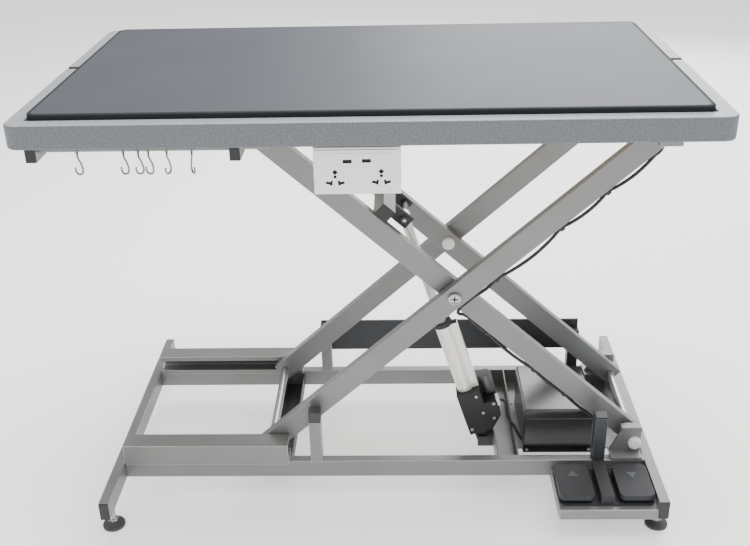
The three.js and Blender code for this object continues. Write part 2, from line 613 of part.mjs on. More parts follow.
// Foot switch: base with a ridge between two pedals that tip on one cross pin.
const switchFoot = TRAY_TOP + FIT;
const switchTop = switchFoot + SWITCH_SHEET;
const pedalFoot = switchTop + PEDAL_TRAVEL;
const pedalBack = trayBack - PEDAL_SETBACK;
const pedalMid = pedalBack - PEDAL_LENGTH / 2;
const pedalPinY = pedalBack - PEDAL_THICK * 0.7;
const pedalPinZ = pedalFoot + PEDAL_THICK / 2;
const pedalPinR = PEDAL_THICK / 4;
const switchWide = PEDAL_PITCH + PEDAL_WIDTH;
const pinReach = PEDAL_PITCH / 2 - PEDAL_WIDTH / 2 + PEDAL_CORNER;
piece('footswitch_base', join(
  slab(roundedRect(pedalX, pedalMid, switchWide, PEDAL_LENGTH + 2 * SWITCH_SHEET, PEDAL_CORNER),
    switchFoot, switchTop),
  block(pedalX - RIDGE_WIDTH / 2, pedalX + RIDGE_WIDTH / 2, pedalMid - PEDAL_LENGTH / 2, pedalBack,
    switchFoot, pedalFoot + PEDAL_THICK),
  barX(pedalPinR, pedalX - pinReach, pedalX + pinReach, pedalPinY, pedalPinZ),
), charcoal);
for (const [name, side] of [['left', -1], ['right', 1]]) {
  const x = pedalX + side * PEDAL_PITCH / 2;
  const pinHole = barX(pedalPinR + RUN_FIT, pedalX - pinReach - 1, pedalX + pinReach + 1, pedalPinY, pedalPinZ);
  const pad = slab(roundedRect(x, pedalMid, PEDAL_WIDTH, PEDAL_LENGTH, PEDAL_CORNER), pedalFoot,
    pedalFoot + PEDAL_THICK);
  piece(`pedal_${name}`, pad.subtract(pinHole), charcoal);
}

// Table top: board inside a rim with a clamp slot at each end, mat on the board.
const boardHalfX = TOP_LENGTH / 2 - RIM_WIDTH;
const boardHalfY = TOP_WIDTH / 2 - RIM_WIDTH;
const boardTop = rimTop + MAT_PROUD - MAT_THICK - FIT;
const slotCut = (side) => {
  const xs = [side * (boardHalfX - 1), side * (TOP_LENGTH / 2 + 1)].sort((a, b) => a - b);
  return block(...xs, SLOT_Y - SLOT_WIDTH / 2, SLOT_Y + SLOT_WIDTH / 2, rimTop - SLOT_DEPTH, rimTop + 1);
};
const rim = slab(roundedRect(0, 0, TOP_LENGTH, TOP_WIDTH, RIM_CORNER), topZ, rimTop)
  .subtract(block(-boardHalfX, boardHalfX, -boardHalfY, boardHalfY, topZ - 1, rimTop + 1))
  .subtract(slotCut(-1))
  .subtract(slotCut(1));
piece('table_rim', rim, greyRim);
piece('table_board', block(-boardHalfX + FIT, boardHalfX - FIT, -boardHalfY + FIT, boardHalfY - FIT,
  topZ, boardTop), board);
piece('table_mat', slab(roundedRect(0, 0, 2 * (boardHalfX - FIT), 2 * (boardHalfY - FIT), MAT_THICK / 2),
  boardTop + FIT, boardTop + FIT + MAT_THICK), matTop);

// Hook rail: two tube arms under the front edge with a rod between them.
const armTop = topZ - FIT;
const armFoot = armTop - HOOK_ARM_HEIGHT;
const hookRodZ = armTop - HOOK_ROD_DROP;
const armBack = -(outerFace + SIDE_PLAY + MEMBER_WIDTH + FIT);
const hookArm = (x) => tubeY(x - HOOK_ARM_WIDTH / 2, x + HOOK_ARM_WIDTH / 2, hookArmFront, armBack,
  armFoot, armTop, TUBE_WALL);
piece('hook_rail', join(hookArm(hookArmLeft), hookArm(hookArmRight),
  barX(HOOK_ROD_R, hookArmLeft + HOOK_ARM_WIDTH / 2 - 1, hookArmRight - HOOK_ARM_WIDTH / 2 + 1,
    hookRodY, hookRodZ)), greyPaint);

// Wire hooks: a loop round the rod, a leaning shank and an open bend below, each turned its own way.
const loopR = HOOK_ROD_R + PIN_FIT + WIRE_R;
const bendZ = hookRodZ - HOOK_DROP + WIRE_R + HOOK_BEND;
HOOK_STEPS.forEach((step, i) => {
  const x = hookArmLeft + step;
  const turn = THREE.MathUtils.degToRad(HOOK_TURNS[i]);
  const spot = (out, z) => [x + out * Math.cos(turn), hookRodY + out * Math.sin(turn), z];
  const points = [220, 180, 135, 90, 45, 0, -45].map((degrees) => {
    const a = THREE.MathUtils.degToRad(degrees);
    return [x, hookRodY + loopR * Math.cos(a), hookRodZ + loopR * Math.sin(a)];
  });
  points.push(spot(0, hookRodZ - loopR - 4 * WIRE_R));
  points.push(spot(HOOK_BEND * 0.75, bendZ + 2 * HOOK_BEND));
  for (const degrees of [0, 45, 90, 135, 180]) {
    const a = THREE.MathUtils.degToRad(degrees);
    points.push(spot(HOOK_BEND * Math.cos(a), bendZ - HOOK_BEND * Math.sin(a)));
  }
  points.push(spot(-HOOK_BEND, bendZ + HOOK_BEND));
  piece(`hook_${i + 1}`, wire(points, WIRE_R, 30), chrome);
});

// Socket box under the front edge, on a folded plate.
const socketTop = topZ - FIT - SOCKET_DROP;
const socketBack = socketFront + SOCKET_DEPTH;
const socketHalf = SOCKET_WIDTH / 2;
const sheetHalf = socketHalf - 2 * SOCKET_DROP;
piece('socket_box', join(
  block(SOCKET_X - socketHalf, SOCKET_X + socketHalf, socketFront, socketBack, socketTop - SOCKET_HEIGHT,
    socketTop),
  block(SOCKET_X - sheetHalf, SOCKET_X + sheetHalf, socketBack - 1, socketBack + SOCKET_SHEET,
    socketTop - SOCKET_HEIGHT, topZ - FIT),
  block(SOCKET_X - sheetHalf, SOCKET_X + sheetHalf, socketBack, socketBack + SOCKET_DEPTH,
    topZ - FIT - SOCKET_SHEET, topZ - FIT),
), whitePlastic);

// Leads: power lead tied under the front outer arm and on under the front inner arm, motor lead.
const leadZ = -ARM_HEIGHT / 2 - FIT - LEAD_R;
const leadRun = (x0, x1, y) => {
  const count = Math.round(Math.abs(x1 - x0) / LEAD_STEP);
  const points = [];
  for (let i = 0; i <= count; i += 1) {
    points.push([x0 + (x1 - x0) * i / count, y, leadZ]);
  }
  return wire(points, LEAD_R, count);
};
piece('power_lead_upper', place(leadRun(LEAD_FROM, LEAD_TO, -OUTER_ARM_Y), -LIFT_ANGLE, midX, midZ), rubber);
piece('power_lead_lower', place(leadRun(LEAD_FROM, LEAD_TO, -innerArmY), LIFT_ANGLE, midX, midZ), rubber);
const onActuator = (out, along) => [
  lowPinX + out * Math.cos(actTilt) + along * Math.sin(actTilt),
  LOW_PIN_Z - out * Math.sin(actTilt) + along * Math.cos(actTilt),
];
const [plugX, plugZ] = onActuator(GEAR_RIGHT + LEAD_CLEAR + LEAD_R, GEAR_SHOULDER - 2 * LEAD_R);
const leadY = boxFront + 4 * LEAD_R;
const overX = liftChannelX + CHANNEL_WIDTH / 2;
piece('motor_lead', wire([
  [plugX, ACT_Y - GEAR_THICK / 3, plugZ],
  [plugX + 4 * LEAD_R, ACT_Y - GEAR_THICK / 3, plugZ - 2 * LEAD_R],
  [plugX + 6 * LEAD_R, leadY, (plugZ + baseTop) / 2],
  [overX - LEAD_R, leadY, baseTop + 5 * LEAD_R],
  [overX + 2 * LEAD_R, leadY, baseTop - LEAD_R],
  [boxL - FIT - LEAD_R, leadY, boxFoot + 5 * LEAD_R],
], LEAD_R, 24), rubber);

export default group;
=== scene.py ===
import bpy
import json
from math import radians, sin, cos, pi
from mathutils import Matrix, Vector


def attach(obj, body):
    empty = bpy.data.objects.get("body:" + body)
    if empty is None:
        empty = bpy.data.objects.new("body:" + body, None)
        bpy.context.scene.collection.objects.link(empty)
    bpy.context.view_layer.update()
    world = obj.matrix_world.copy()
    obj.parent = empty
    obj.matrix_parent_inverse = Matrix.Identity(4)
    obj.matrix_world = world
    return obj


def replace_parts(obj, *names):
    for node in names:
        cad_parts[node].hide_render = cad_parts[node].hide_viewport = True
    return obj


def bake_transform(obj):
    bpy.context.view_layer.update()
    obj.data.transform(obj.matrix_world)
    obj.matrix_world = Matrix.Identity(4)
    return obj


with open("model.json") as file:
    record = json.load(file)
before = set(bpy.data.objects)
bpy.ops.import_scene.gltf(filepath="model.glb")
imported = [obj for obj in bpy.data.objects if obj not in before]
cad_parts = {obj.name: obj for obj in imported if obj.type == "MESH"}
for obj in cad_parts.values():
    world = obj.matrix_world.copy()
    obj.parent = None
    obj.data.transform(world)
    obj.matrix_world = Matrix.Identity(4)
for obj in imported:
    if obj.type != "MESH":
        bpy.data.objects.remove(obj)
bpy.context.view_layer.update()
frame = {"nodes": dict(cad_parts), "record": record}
nodes = frame["nodes"]

# The view: a camera in front of the table, a little above it and a touch rolled, a pale floor,
# and soft light from large panels overhead, so that upward faces are bright and upright ones grey.
pitch, yaw, roll = radians(26.42), radians(-1.74), radians(1.29)
ahead = Vector((sin(yaw) * cos(pitch), cos(yaw) * cos(pitch), -sin(pitch)))
level_right = Vector((cos(yaw), -sin(yaw), 0))
level_down = ahead.cross(level_right)
right = level_right * cos(roll) + level_down * sin(roll)
down = level_down * cos(roll) - level_right * sin(roll)
bpy.ops.object.camera_add()
camera = bpy.context.object
camera.data.sensor_width = 36
camera.data.lens = 47.06
turn = Matrix((right, -down, -ahead)).transposed().to_4x4()
camera.matrix_world = Matrix.Translation((0.0532, -1.8693, 1.3691)) @ turn
bpy.context.scene.camera = camera


# sRGB hex value to the linear colour that shaders take.
def linear(hex_value):
    channels = [int(hex_value[i:i + 2], 16) / 255 for i in (0, 2, 4)]
    return tuple(c / 12.92 if c <= 0.04045 else ((c + 0.055) / 1.055) ** 2.4 for c in channels) + (1.0,)


# Adds a node to a material: plain inputs are set, (node, output) inputs are linked.
def put(material, kind, inputs=None, **settings):
    tree = material.node_tree
    made = tree.nodes.new(kind)
    for name, value in settings.items():
        setattr(made, name, value)
    for name, value in (inputs or {}).items():
        if isinstance(value, tuple) and isinstance(value[0], bpy.types.Node):
            tree.links.new(value[0].outputs[value[1]], made.inputs[name])
        else:
            made.inputs[name].default_value = value
    return made


# A new material with no nodes yet.
def bare(name):
    material = bpy.data.materials.new(name)
    material.use_nodes = True
    material.node_tree.nodes.clear()
    return material


# Closes a material: shader settings, links and the output.
def shade(material, **inputs):
    shader = put(material, "ShaderNodeBsdfPrincipled", {k.replace("_", " "): v for k, v in inputs.items()})
    put(material, "ShaderNodeOutputMaterial", {"Surface": (shader, "BSDF")})
    return material


bpy.ops.mesh.primitive_plane_add(size=40, location=(0, 0, -0.0005))
floor = bpy.context.object
floor.name = "floor"
pale = bare("pale_studio_floor")
spots = put(pale, "ShaderNodeTexCoord")
drift = put(pale, "ShaderNodeTexNoise", {"Vector": (spots, "Object"), "Scale": 0.6})
tint = put(pale, "ShaderNodeMix", {0: (drift, "Fac"), 6: linear("f4f4f3"), 7: linear("fafaf9")}, data_type="RGBA")
shade(pale, Base_Color=(tint, 2), Roughness=0.9, Emission_Color=linear("ffffff"), Emission_Strength=0.65)
floor.data.materials.append(pale)
for name, spot, aim, size, power in (
        ("panel_overhead", (0.2, 0.4, 3.6), (0, 0, 0.5), 3.2, 195),
        ("panel_back", (1.1, 3.4, 2.0), (0, 0, 0.3), 2.4, 110),
        ("panel_left", (-2.8, -1.6, 2.4), (0, 0, 0.6), 2.2, 26),
        ("panel_right", (2.9, -1.2, 2.2), (0, 0, 0.5), 2.0, 18),
        ("panel_front", (0.3, -3.6, 1.0), (0, 0, 0.4), 2.4, 10)):
    bpy.ops.object.light_add(type="AREA", location=spot)
    panel = bpy.context.object
    panel.name = name
    panel.data.size = size
    panel.data.energy = power
    panel.rotation_euler = (Vector(aim) - Vector(spot)).to_track_quat("-Z", "Y").to_euler()
world = bpy.data.worlds.new("white_room")
world.use_nodes = True
world.node_tree.nodes["Background"].inputs["Color"].default_value = (1, 1, 1, 1)
world.node_tree.nodes["Background"].inputs["Strength"].default_value = 0.7
bpy.context.scene.world = world

# Frame tubes, rails, arms and brackets: bent and welded steel with a silver-grey powder coat.
# The coat has a slight orange peel, and the cut and folded edges are eased by it.

# Silver-grey powder coat: a soft metallic sheen, warmer and cooler clouds a hand wide from the spray,
# and an orange peel of about 2 mm, drawn a little coarser than the real one so that it shows.
powder = bare("silver_grey_powder_coat")
spots = put(powder, "ShaderNodeTexCoord")
cloud = put(powder, "ShaderNodeTexNoise", {"Vector": (spots, "Object"), "Scale": 1000 / 140, "Detail": 4.0})
peel = put(powder, "ShaderNodeTexNoise", {"Vector": (spots, "Object"), "Scale": 1000 / 2.4, "Detail": 2.0})
tint = put(powder, "ShaderNodeMix", {0: (cloud, "Fac"), 6: linear("777471"), 7: linear("868b8d")}, data_type="RGBA")
gloss = put(powder, "ShaderNodeMapRange", {"Value": (cloud, "Fac"), "To Min": 0.34, "To Max": 0.5})
relief = put(powder, "ShaderNodeBump", {"Height": (peel, "Fac"), "Strength": 0.12, "Distance": 0.0005})
shade(powder, Base_Color=(tint, 2), Roughness=(gloss, "Result"), Metallic=0.45, Normal=(relief, "Normal"))

# The same coat on the eased corners, brighter: partly the coat worn thin there and partly a painted highlight along
# the edges, with rubbed patches about 20 mm long.
worn_and_highlit_powder = bare("powder_coat_worn_and_painted_highlight_at_edges")
spots = put(worn_and_highlit_powder, "ShaderNodeTexCoord")
rub = put(worn_and_highlit_powder, "ShaderNodeTexNoise", {"Vector": (spots, "Object"), "Scale": 1000 / 20, "Detail": 3.0})
tint = put(worn_and_highlit_powder, "ShaderNodeMix", {0: (rub, "Fac"), 6: linear("8b8d8c"), 7: linear("c2c4c3")},
           data_type="RGBA")
gloss = put(worn_and_highlit_powder, "ShaderNodeMapRange", {"Value": (rub, "Fac"), "To Min": 0.25, "To Max": 0.45})
shade(worn_and_highlit_powder, Base_Color=(tint, 2), Roughness=(gloss, "Result"), Metallic=0.6)


# Keeps large faces flat in the light and lets only the eased edges turn.
def even(made):
    face_weight = made.modifiers.new("even_faces", "WEIGHTED_NORMAL")
    face_weight.keep_sharp = True
    bpy.ops.object.modifier_apply(modifier=face_weight.name)


# A copy of a CAD node with its triangles joined up and its edges eased, which stands for the node.
# When a second finish is given, the eased edges take it: a lighter coat that is partly wear and partly a painted
# highlight along the edges.
def eased(node, finish, width, steps=2, wear_and_highlight=None):
    source = nodes[node]
    bpy.ops.object.select_all(action="DESELECT")
    made = bpy.data.objects.new(node + "_eased", source.data.copy())
    made.data.materials.clear()
    made.data.materials.append(finish)
    bpy.context.collection.objects.link(made)
    bpy.context.view_layer.objects.active = made
    made.select_set(True)
    bpy.ops.object.mode_set(mode="EDIT")
    bpy.ops.mesh.select_all(action="SELECT")
    bpy.ops.mesh.remove_doubles(threshold=1e-6)
    bpy.ops.mesh.dissolve_limited(angle_limit=radians(1))
    bpy.ops.object.mode_set(mode="OBJECT")
    edge = made.modifiers.new("eased_edges", "BEVEL")
    edge.width = width
    edge.segments = steps
    edge.limit_method = "ANGLE"
    edge.angle_limit = radians(40)
    if wear_and_highlight:
        made.data.materials.append(wear_and_highlight)
        edge.material = 1
    bpy.ops.object.modifier_apply(modifier=edge.name)
    bpy.ops.object.shade_smooth_by_angle(angle=radians(40))
    even(made)
    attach(made, next(b for b, names in frame["record"]["behaviour"]["bodies"].items() if node in names))
    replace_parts(made, node)
    return made


for node in ("cross_tube_left", "cross_tube_right", "side_tube_front", "side_tube_rear", "lower_rail_front",
             "lower_rail_rear", "stop_post_front_left", "stop_post_rear_left", "pivot_bracket_front",
             "pivot_bracket_rear", "lift_cross_channel", "pedal_tray", "outer_arm_front", "outer_arm_rear",
             "inner_arm_front", "inner_arm_rear", "upper_rail_front", "upper_rail_rear", "upper_bracket_front",
             "upper_bracket_rear", "hook_rail"):
    eased(node, powder, 0.0012, wear_and_highlight=worn_and_highlit_powder)

# Middle pivots of the scissor, made with the inner arms: a zinc-plated bolt whose cross-slotted head
# shows on the outer arm, and a white nylon cap pushed over its nut on the inner side.


# A finish whose colour and gloss drift a little over the piece, with an optional fine grain.
# drift and grain are the sizes of the marks in millimetres.
def mottled(name, low, high, drift, rough, grain=None, depth=0.1, **shader):
    material = bare(name)
    spots = put(material, "ShaderNodeTexCoord")
    cloud = put(material, "ShaderNodeTexNoise",
                {"Vector": (spots, "Object"), "Scale": 1000 / drift, "Detail": 4.0})
    tint = put(material, "ShaderNodeMix", {0: (cloud, "Fac"), 6: linear(low), 7: linear(high)}, data_type="RGBA")
    gloss = put(material, "ShaderNodeMapRange", {"Value": (cloud, "Fac"), "To Min": rough[0], "To Max": rough[1]})
    if grain:
        bumps = put(material, "ShaderNodeTexVoronoi", {"Vector": (spots, "Object"), "Scale": 1000 / grain})
        relief = put(material, "ShaderNodeBump",
                     {"Height": (bumps, "Distance"), "Strength": depth, "Distance": grain / 4000})
        shader["Normal"] = (relief, "Normal")
    return shade(material, Base_Color=(tint, 2), Roughness=(gloss, "Result"), **shader)


# Gives the faces whose middle passes the test another material.
def recolour(made, material, test):
    made.data.materials.append(material)
    index = len(made.data.materials) - 1
    for face in made.data.polygons:
        if test(face.center):
            face.material_index = index


# A turned piece: a disc extruded ring by ring (radius, height) and then laid along an axis at a spot.
def turned(name, rings, axis, spot, sides=40):
    bpy.ops.object.select_all(action="DESELECT")
    bpy.ops.mesh.primitive_circle_add(vertices=sides, radius=rings[0][0], fill_type="NGON",
                                      location=(0, 0, rings[0][1]))
    made = bpy.context.object
    made.name = name
    bpy.ops.object.transform_apply()
    bpy.ops.object.mode_set(mode="EDIT")
    bpy.ops.mesh.select_all(action="SELECT")
    for (wide, low), (next_wide, high) in zip(rings, rings[1:]):
        bpy.ops.mesh.extrude_region_move(TRANSFORM_OT_translate={"value": (0, 0, high - low)})
        ratio = next_wide / wide
        bpy.ops.transform.resize(value=(ratio, ratio, 1), center_override=(0, 0, 0))
    bpy.ops.mesh.select_all(action="SELECT")
    bpy.ops.mesh.normals_make_consistent(inside=False)
    bpy.ops.object.mode_set(mode="OBJECT")
    made.rotation_euler = Vector(axis).to_track_quat("Z", "Y").to_euler()
    made.location = spot
    bpy.ops.object.transform_apply()
    bpy.ops.object.shade_smooth_by_angle(angle=radians(35))
    return made


# A block between two corners with rounded edges, turned about Y at its own origin and then moved.
def rounded_block(name, low, high, radius, steps=3, tilt=0.0, spot=(0, 0, 0)):
    bpy.ops.object.select_all(action="DESELECT")
    bpy.ops.mesh.primitive_cube_add(size=1)
    made = bpy.context.object
    made.name = name
    made.scale = [b - a for a, b in zip(low, high)]
    made.location = [(a + b) / 2 for a, b in zip(low, high)]
    bpy.ops.object.transform_apply()
    edge = made.modifiers.new("rounded_edges", "BEVEL")
    edge.width = radius
    edge.segments = steps
    bpy.ops.object.modifier_apply(modifier=edge.name)
    made.rotation_euler = (0, tilt, 0)
    made.location = spot
    bpy.ops.object.transform_apply()
    bpy.ops.object.shade_smooth_by_angle(angle=radians(40))
    even(made)
    return made


# Finishes one new piece: its material and the body it rides on.
def fit(made, material, body):
    made.data.materials.append(material)
    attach(made, body)
    return made


# Another of the same piece, with a mesh of its own that is moved into place.
def again(made, name, move, body):
    other = bpy.data.objects.new(name, made.data.copy())
    other.data.transform(move)
    bpy.context.collection.objects.link(other)
    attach(other, body)
    return other


# Turns a front piece round to the rear, about the upright line at x in the middle of the table.
def to_rear(x):
    return Matrix.Translation((x, 0, 0)) @ Matrix.Rotation(pi, 4, "Z") @ Matrix.Translation((-x, 0, 0))


# Bright zinc plate: a grey metal with slight clouds from the bath, about 12 mm across.
zinc = mottled("bright_zinc_plate", "a9abab", "c4c6c6", 12, (0.28, 0.42), Metallic=0.95)
# White nylon: off-white and slightly waxy, so some light goes in.
nylon = mottled("white_nylon", "e4e3dd", "f1f0ec", 9, (0.4, 0.52), Subsurface_Weight=0.08)
# Painted shade in a driven recess: the plated steel drawn dark where the recess is in shadow.
recess_shade = mottled("painted_shade_in_recess", "2a2b2d", "3a3c3e", 3, (0.45, 0.6), Metallic=0.5)
mid = Vector((0.15696, 0, 0.4593))
near_mid = lambda s: (Vector((s.x, 0, s.z)) - mid).length < 0.0145
for node in ("inner_arm_front", "inner_arm_rear"):
    arm = bpy.data.objects[node + "_eased"]
    recolour(arm, zinc, lambda s: near_mid(s) and abs(s.y) > 0.1285)
    recolour(arm, nylon, lambda s: near_mid(s) and abs(s.y) < 0.1075)
head = turned("pivot_bolt_head_front",
              [(0.0128, 0), (0.0128, 0.0042), (0.0118, 0.0056), (0.0095, 0.0062), (0.0088, 0.0045),
               (0.0032, 0.0045), (0.003, 0.0022)], (0, -1, 0), (mid.x, -0.1563, mid.z))
fit(head, zinc, "inner_arms")
# The wall of the ring recess in the head is painted dark as shade.
recolour(head, recess_shade, lambda s: 0.0088 < (Vector((s.x, 0, s.z)) - mid).length < 0.0095)
again(head, "pivot_bolt_head_rear", to_rear(mid.x), "inner_arms")
# The cross grooves in the head are painted dark as shade in the recess.
for name, wide, tall in (("level", 0.0070, 0.0013), ("upright", 0.0013, 0.0070)):
    groove = rounded_block(f"bolt_groove_{name}_front", (mid.x - wide, -0.1612, mid.z - tall),
                           (mid.x + wide, -0.1606, mid.z + tall), 0.0002, 1)
    fit(groove, recess_shade, "inner_arms")
    again(groove, f"bolt_groove_{name}_rear", to_rear(mid.x), "inner_arms")
nut_cap = turned("pivot_nylon_cap_front",
                 [(0.0136, 0), (0.0138, 0.0015), (0.0138, 0.0072), (0.0125, 0.0092), (0.0098, 0.0102),
                  (0.004, 0.0106)], (0, 1, 0), (mid.x, -0.108, mid.z))
fit(nut_cap, nylon, "inner_arms")
again(nut_cap, "pivot_nylon_cap_rear", to_rear(mid.x), "inner_arms")

# Dark members: the flat bar behind the rear posts, the right stop posts, the middle channel and the
# lugs at both ends of the actuator, cut and folded from steel, in a charcoal coat. The upper lugs are
# welded to the grey square tube between the inner arms, with a plated pin through them.
tilt = radians(41.86)

# Charcoal powder coat: like the grey one, darker and less metallic, with a 2.4 mm peel.
dark = mottled("charcoal_powder_coat", "2f3135", "3f4246", 60, (0.42, 0.6), grain=2.4, depth=0.12, Metallic=0.2)
# The charcoal coat on the eased corners, lighter: partly worn thin there and partly a painted highlight along the
# edges.
worn_and_highlit_charcoal = mottled("charcoal_coat_worn_and_painted_highlight_at_edges", "4a4d51", "6b6e72", 20, (0.35, 0.5), Metallic=0.35)
for node in ("rear_bar", "stop_post_front_right", "stop_post_rear_right", "mid_cross_channel"):
    eased(node, dark, 0.0012, wear_and_highlight=worn_and_highlit_charcoal)
recolour(bpy.data.objects["lift_cross_channel_eased"], dark, lambda s: s.x < 0.2525)
lift_tube = eased("lift_cross_tube", powder, 0.0012)
along_tube = lambda s: (s.x - mid.x) * cos(tilt) - (s.z - mid.z) * sin(tilt)
lug_pin = Vector((0.0592, 0, 0.597))
recolour(lift_tube, dark, lambda s: along_tube(s) > -0.2008)
pin_end = turned("lug_pin_end", [(0.0042, 0), (0.0042, 0.001), (0.0034, 0.0018), (0.0012, 0.002)], (0, -1, 0),
                 (lug_pin.x, -0.0845, lug_pin.z), sides=24)
fit(pin_end, zinc, "inner_arms")

# Black polyethylene plugs close the open ends of the base tubes, the right posts, the hook arms and
# the lift tube. Each has a flat flange with eased edges, as wide as its tube.

# Polyethylene: dark and a little waxy, with a 2 mm moulded grain. The same black is used as painted shade inside the
# clamp slots of the table's edging.
black_plastic_and_slot_shade = mottled("black_polyethylene_and_slot_shade", "17181a", "232427", 8, (0.42, 0.55), grain=2.0, depth=0.1)
cross_tube_gap = 1.12
base_plug = rounded_block("plug_base_front_left", (-0.5598, -0.3285, 0.0502), (-0.5402, -0.3252, 0.0898), 0.0012)
fit(base_plug, black_plastic_and_slot_shade, "base")
to_right = Matrix.Translation((cross_tube_gap, 0, 0))
again(base_plug, "plug_base_front_right", to_right, "base")
again(base_plug, "plug_base_rear_left", to_rear(-0.55), "base")
again(base_plug, "plug_base_rear_right", to_right @ to_rear(-0.55), "base")
post_plug = rounded_block("plug_post_front", (0.4497, -0.1913, 0.1955), (0.4743, -0.1667, 0.1982), 0.0012)
fit(post_plug, black_plastic_and_slot_shade, "base")
again(post_plug, "plug_post_rear", to_rear(0.462), "base")
arm_plug = rounded_block("plug_hook_arm_left", (-0.5709, -0.3382, 0.8174), (-0.5531, -0.3352, 0.8432), 0.0012)
fit(arm_plug, black_plastic_and_slot_shade, "table")
again(arm_plug, "plug_hook_arm_right", Matrix.Translation((0.341, 0, 0)), "table")
lift_plug = rounded_block("plug_lift_tube_front", (-0.2308, -0.1296, 0.0225), (-0.2012, -0.1281, 0.0521), 0.0006,
                          tilt=tilt, spot=tuple(mid))
fit(lift_plug, black_plastic_and_slot_shade, "inner_arms")
again(lift_plug, "plug_lift_tube_rear", Matrix.Translation((0, 0.2577, 0)), "inner_arms")

# Covers on the lower pivot brackets: a steel strip welded over the open top, coated with the frame.
# The edges are eased and the coat runs over the weld.
cover = rounded_block("bracket_cover_front", (0.5132, -0.1578, 0.1463), (0.5548, -0.1382, 0.1488), 0.0008)
fit(cover, powder, "base")
again(cover, "bracket_cover_rear", to_rear(0.534), "base")

# Levelling feet: a black moulded pad on a chromed threaded stem, with a lock nut above the pad that
# is tightened up to the tube.

# Moulded rubber: dark grey and matt, with a 1.6 mm grain, coarser than the real one so that it shows.
rubber = mottled("black_moulded_rubber", "35373a", "4b4d51", 6, (0.68, 0.86), grain=1.6, depth=0.25)
# Polished chrome: nearly a mirror, with faint wipe marks about 15 mm long.
chrome = mottled("polished_chrome", "cfd1d3", "e2e4e6", 15, (0.08, 0.16), Metallic=1.0)
foot_x, foot_y = -0.55, -0.284
pad = turned("foot_front_left_pad",
             [(0.0215, 0), (0.0229, 0.0012), (0.0229, 0.0055), (0.0218, 0.0072), (0.0135, 0.0098),
              (0.0108, 0.012), (0.0098, 0.0128), (0.0062, 0.0128)], (0, 0, 1), (foot_x, foot_y, 0))
fit(pad, rubber, "foot_front_left")
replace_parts(pad, "foot_front_left")
pad_top, thread_pitch = 0.0125, 0.00175
thread = [(0.0058, pad_top)]
for turn_of_thread in range(31):
    z = pad_top + turn_of_thread * thread_pitch
    thread += [(0.0060, z + 0.0006), (0.0060, z + 0.0010), (0.0053, z + 0.0016)]
stem = turned("foot_front_left_stem", thread + [(0.0048, 0.0695)], (0, 0, 1), (foot_x, foot_y, 0), sides=20)
fit(stem, chrome, "foot_front_left")
nut = turned("foot_front_left_nut", [(0.0098, 0.0132), (0.0104, 0.0138), (0.0104, 0.0196), (0.0098, 0.0202)],
             (0, 0, 1), (foot_x, foot_y, 0), sides=6)
fit(nut, zinc, "foot_front_left")
for foot, step in (("foot_front_right", (cross_tube_gap, 0, 0)), ("foot_rear_left", (0, -2 * foot_y, 0)),
                   ("foot_rear_right", (cross_tube_gap, -2 * foot_y, 0))):
    move = Matrix.Translation(step)
    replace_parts(again(pad, foot + "_pad", move, foot), foot)
    again(stem, foot + "_stem", move, foot)
    again(nut, foot + "_nut", move, foot)

# Rubber caps on the left stop posts, which the side members of the table come down on. They are
# moulded blocks with a plug that is pressed into the post.
for node in ("stop_cap_front", "stop_cap_rear"):
    eased(node, rubber, 0.0025, 3)

# Shafts, axles and rollers: drawn bars with zinc plate; nylon rollers turned to run in the rails, and
# nylon caps pressed on the ends of the lower pivot shaft.
for node in ("lower_axle", "upper_axle"):
    eased(node, zinc, 0.001)
for node in ("lower_roller_front", "lower_roller_rear", "upper_roller_front", "upper_roller_rear"):
    eased(node, nylon, 0.0012)
eased("lower_pivot_shaft", zinc, 0.0008)
shaft_x, shaft_z = 0.542, 0.1143
shaft_cap = turned("shaft_nylon_cap_front",
                   [(0.0136, 0), (0.0138, 0.0015), (0.0138, 0.0078), (0.0125, 0.0098), (0.0095, 0.0108),
                    (0.004, 0.0112)], (0, -1, 0), (shaft_x, -0.1583, shaft_z))
fit(shaft_cap, nylon, "base")
again(shaft_cap, "shaft_nylon_cap_rear", to_rear(shaft_x), "base")

# Table top: a thick edge moulding of pebbled grey plastic round a plywood board, and a rubber mat
# with black cut sides and a dull grey face that lies on the board. A clamp slot is cut in each end.

# Pebbled PVC: mid grey with a 3 mm leather grain that breaks the light into specks.
pebble = mottled("pebbled_grey_pvc_edging", "3a3e43", "84888d", 3.5, (0.42, 0.56), grain=3.2, depth=0.45)
rim_top, mat_top, slot_y, hair = 0.8856, 0.8946, 0.020, 0.00005
rim = eased("table_rim", pebble, 0.004, 4)
# The top of the edging, slightly smoother, with a painted highlight: the same grey drawn lighter where the light from
# above falls on it.
rim_top_highlight = mottled("grey_pvc_edging_painted_highlight_on_top", "6b6f74", "a6aaaf", 3.5, (0.36, 0.5), grain=3.2, depth=0.25)
# The top faces of the edging get the painted highlight.
recolour(rim, rim_top_highlight, lambda s: s.z > rim_top - 0.001)
# The inside of each clamp slot gets the black plastic as painted shade.
slot_in_shade = lambda s: abs(s.y - slot_y) < 0.0092 and 0.57 < abs(s.x) < 0.5997 and s.z < rim_top - hair
recolour(rim, black_plastic_and_slot_shade, slot_in_shade)
# Birch plywood: pale brown with long grain lines along the table, about 8 mm apart.
ply = bare("birch_plywood")
spots = put(ply, "ShaderNodeTexCoord")
along = put(ply, "ShaderNodeMapping", {"Vector": (spots, "Object"), "Scale": (1.2, 14, 14)})
grain = put(ply, "ShaderNodeTexNoise", {"Vector": (along, "Vector"), "Scale": 9.0, "Detail": 6.0})
tint = put(ply, "ShaderNodeMix", {0: (grain, "Fac"), 6: linear("a98c62"), 7: linear("c9ae84")}, data_type="RGBA")
shade(ply, Base_Color=(tint, 2), Roughness=0.7)
board = eased("table_board", ply, 0.001)
# Rubber mat: dull dark grey that the light greys out, with a fine cast grain and wide soft stains.
mat_face = mottled("grey_rubber_mat", "34383f", "3f434a", 180, (0.5, 0.6), grain=1.8, depth=0.12,
                   Specular_IOR_Level=0.36)
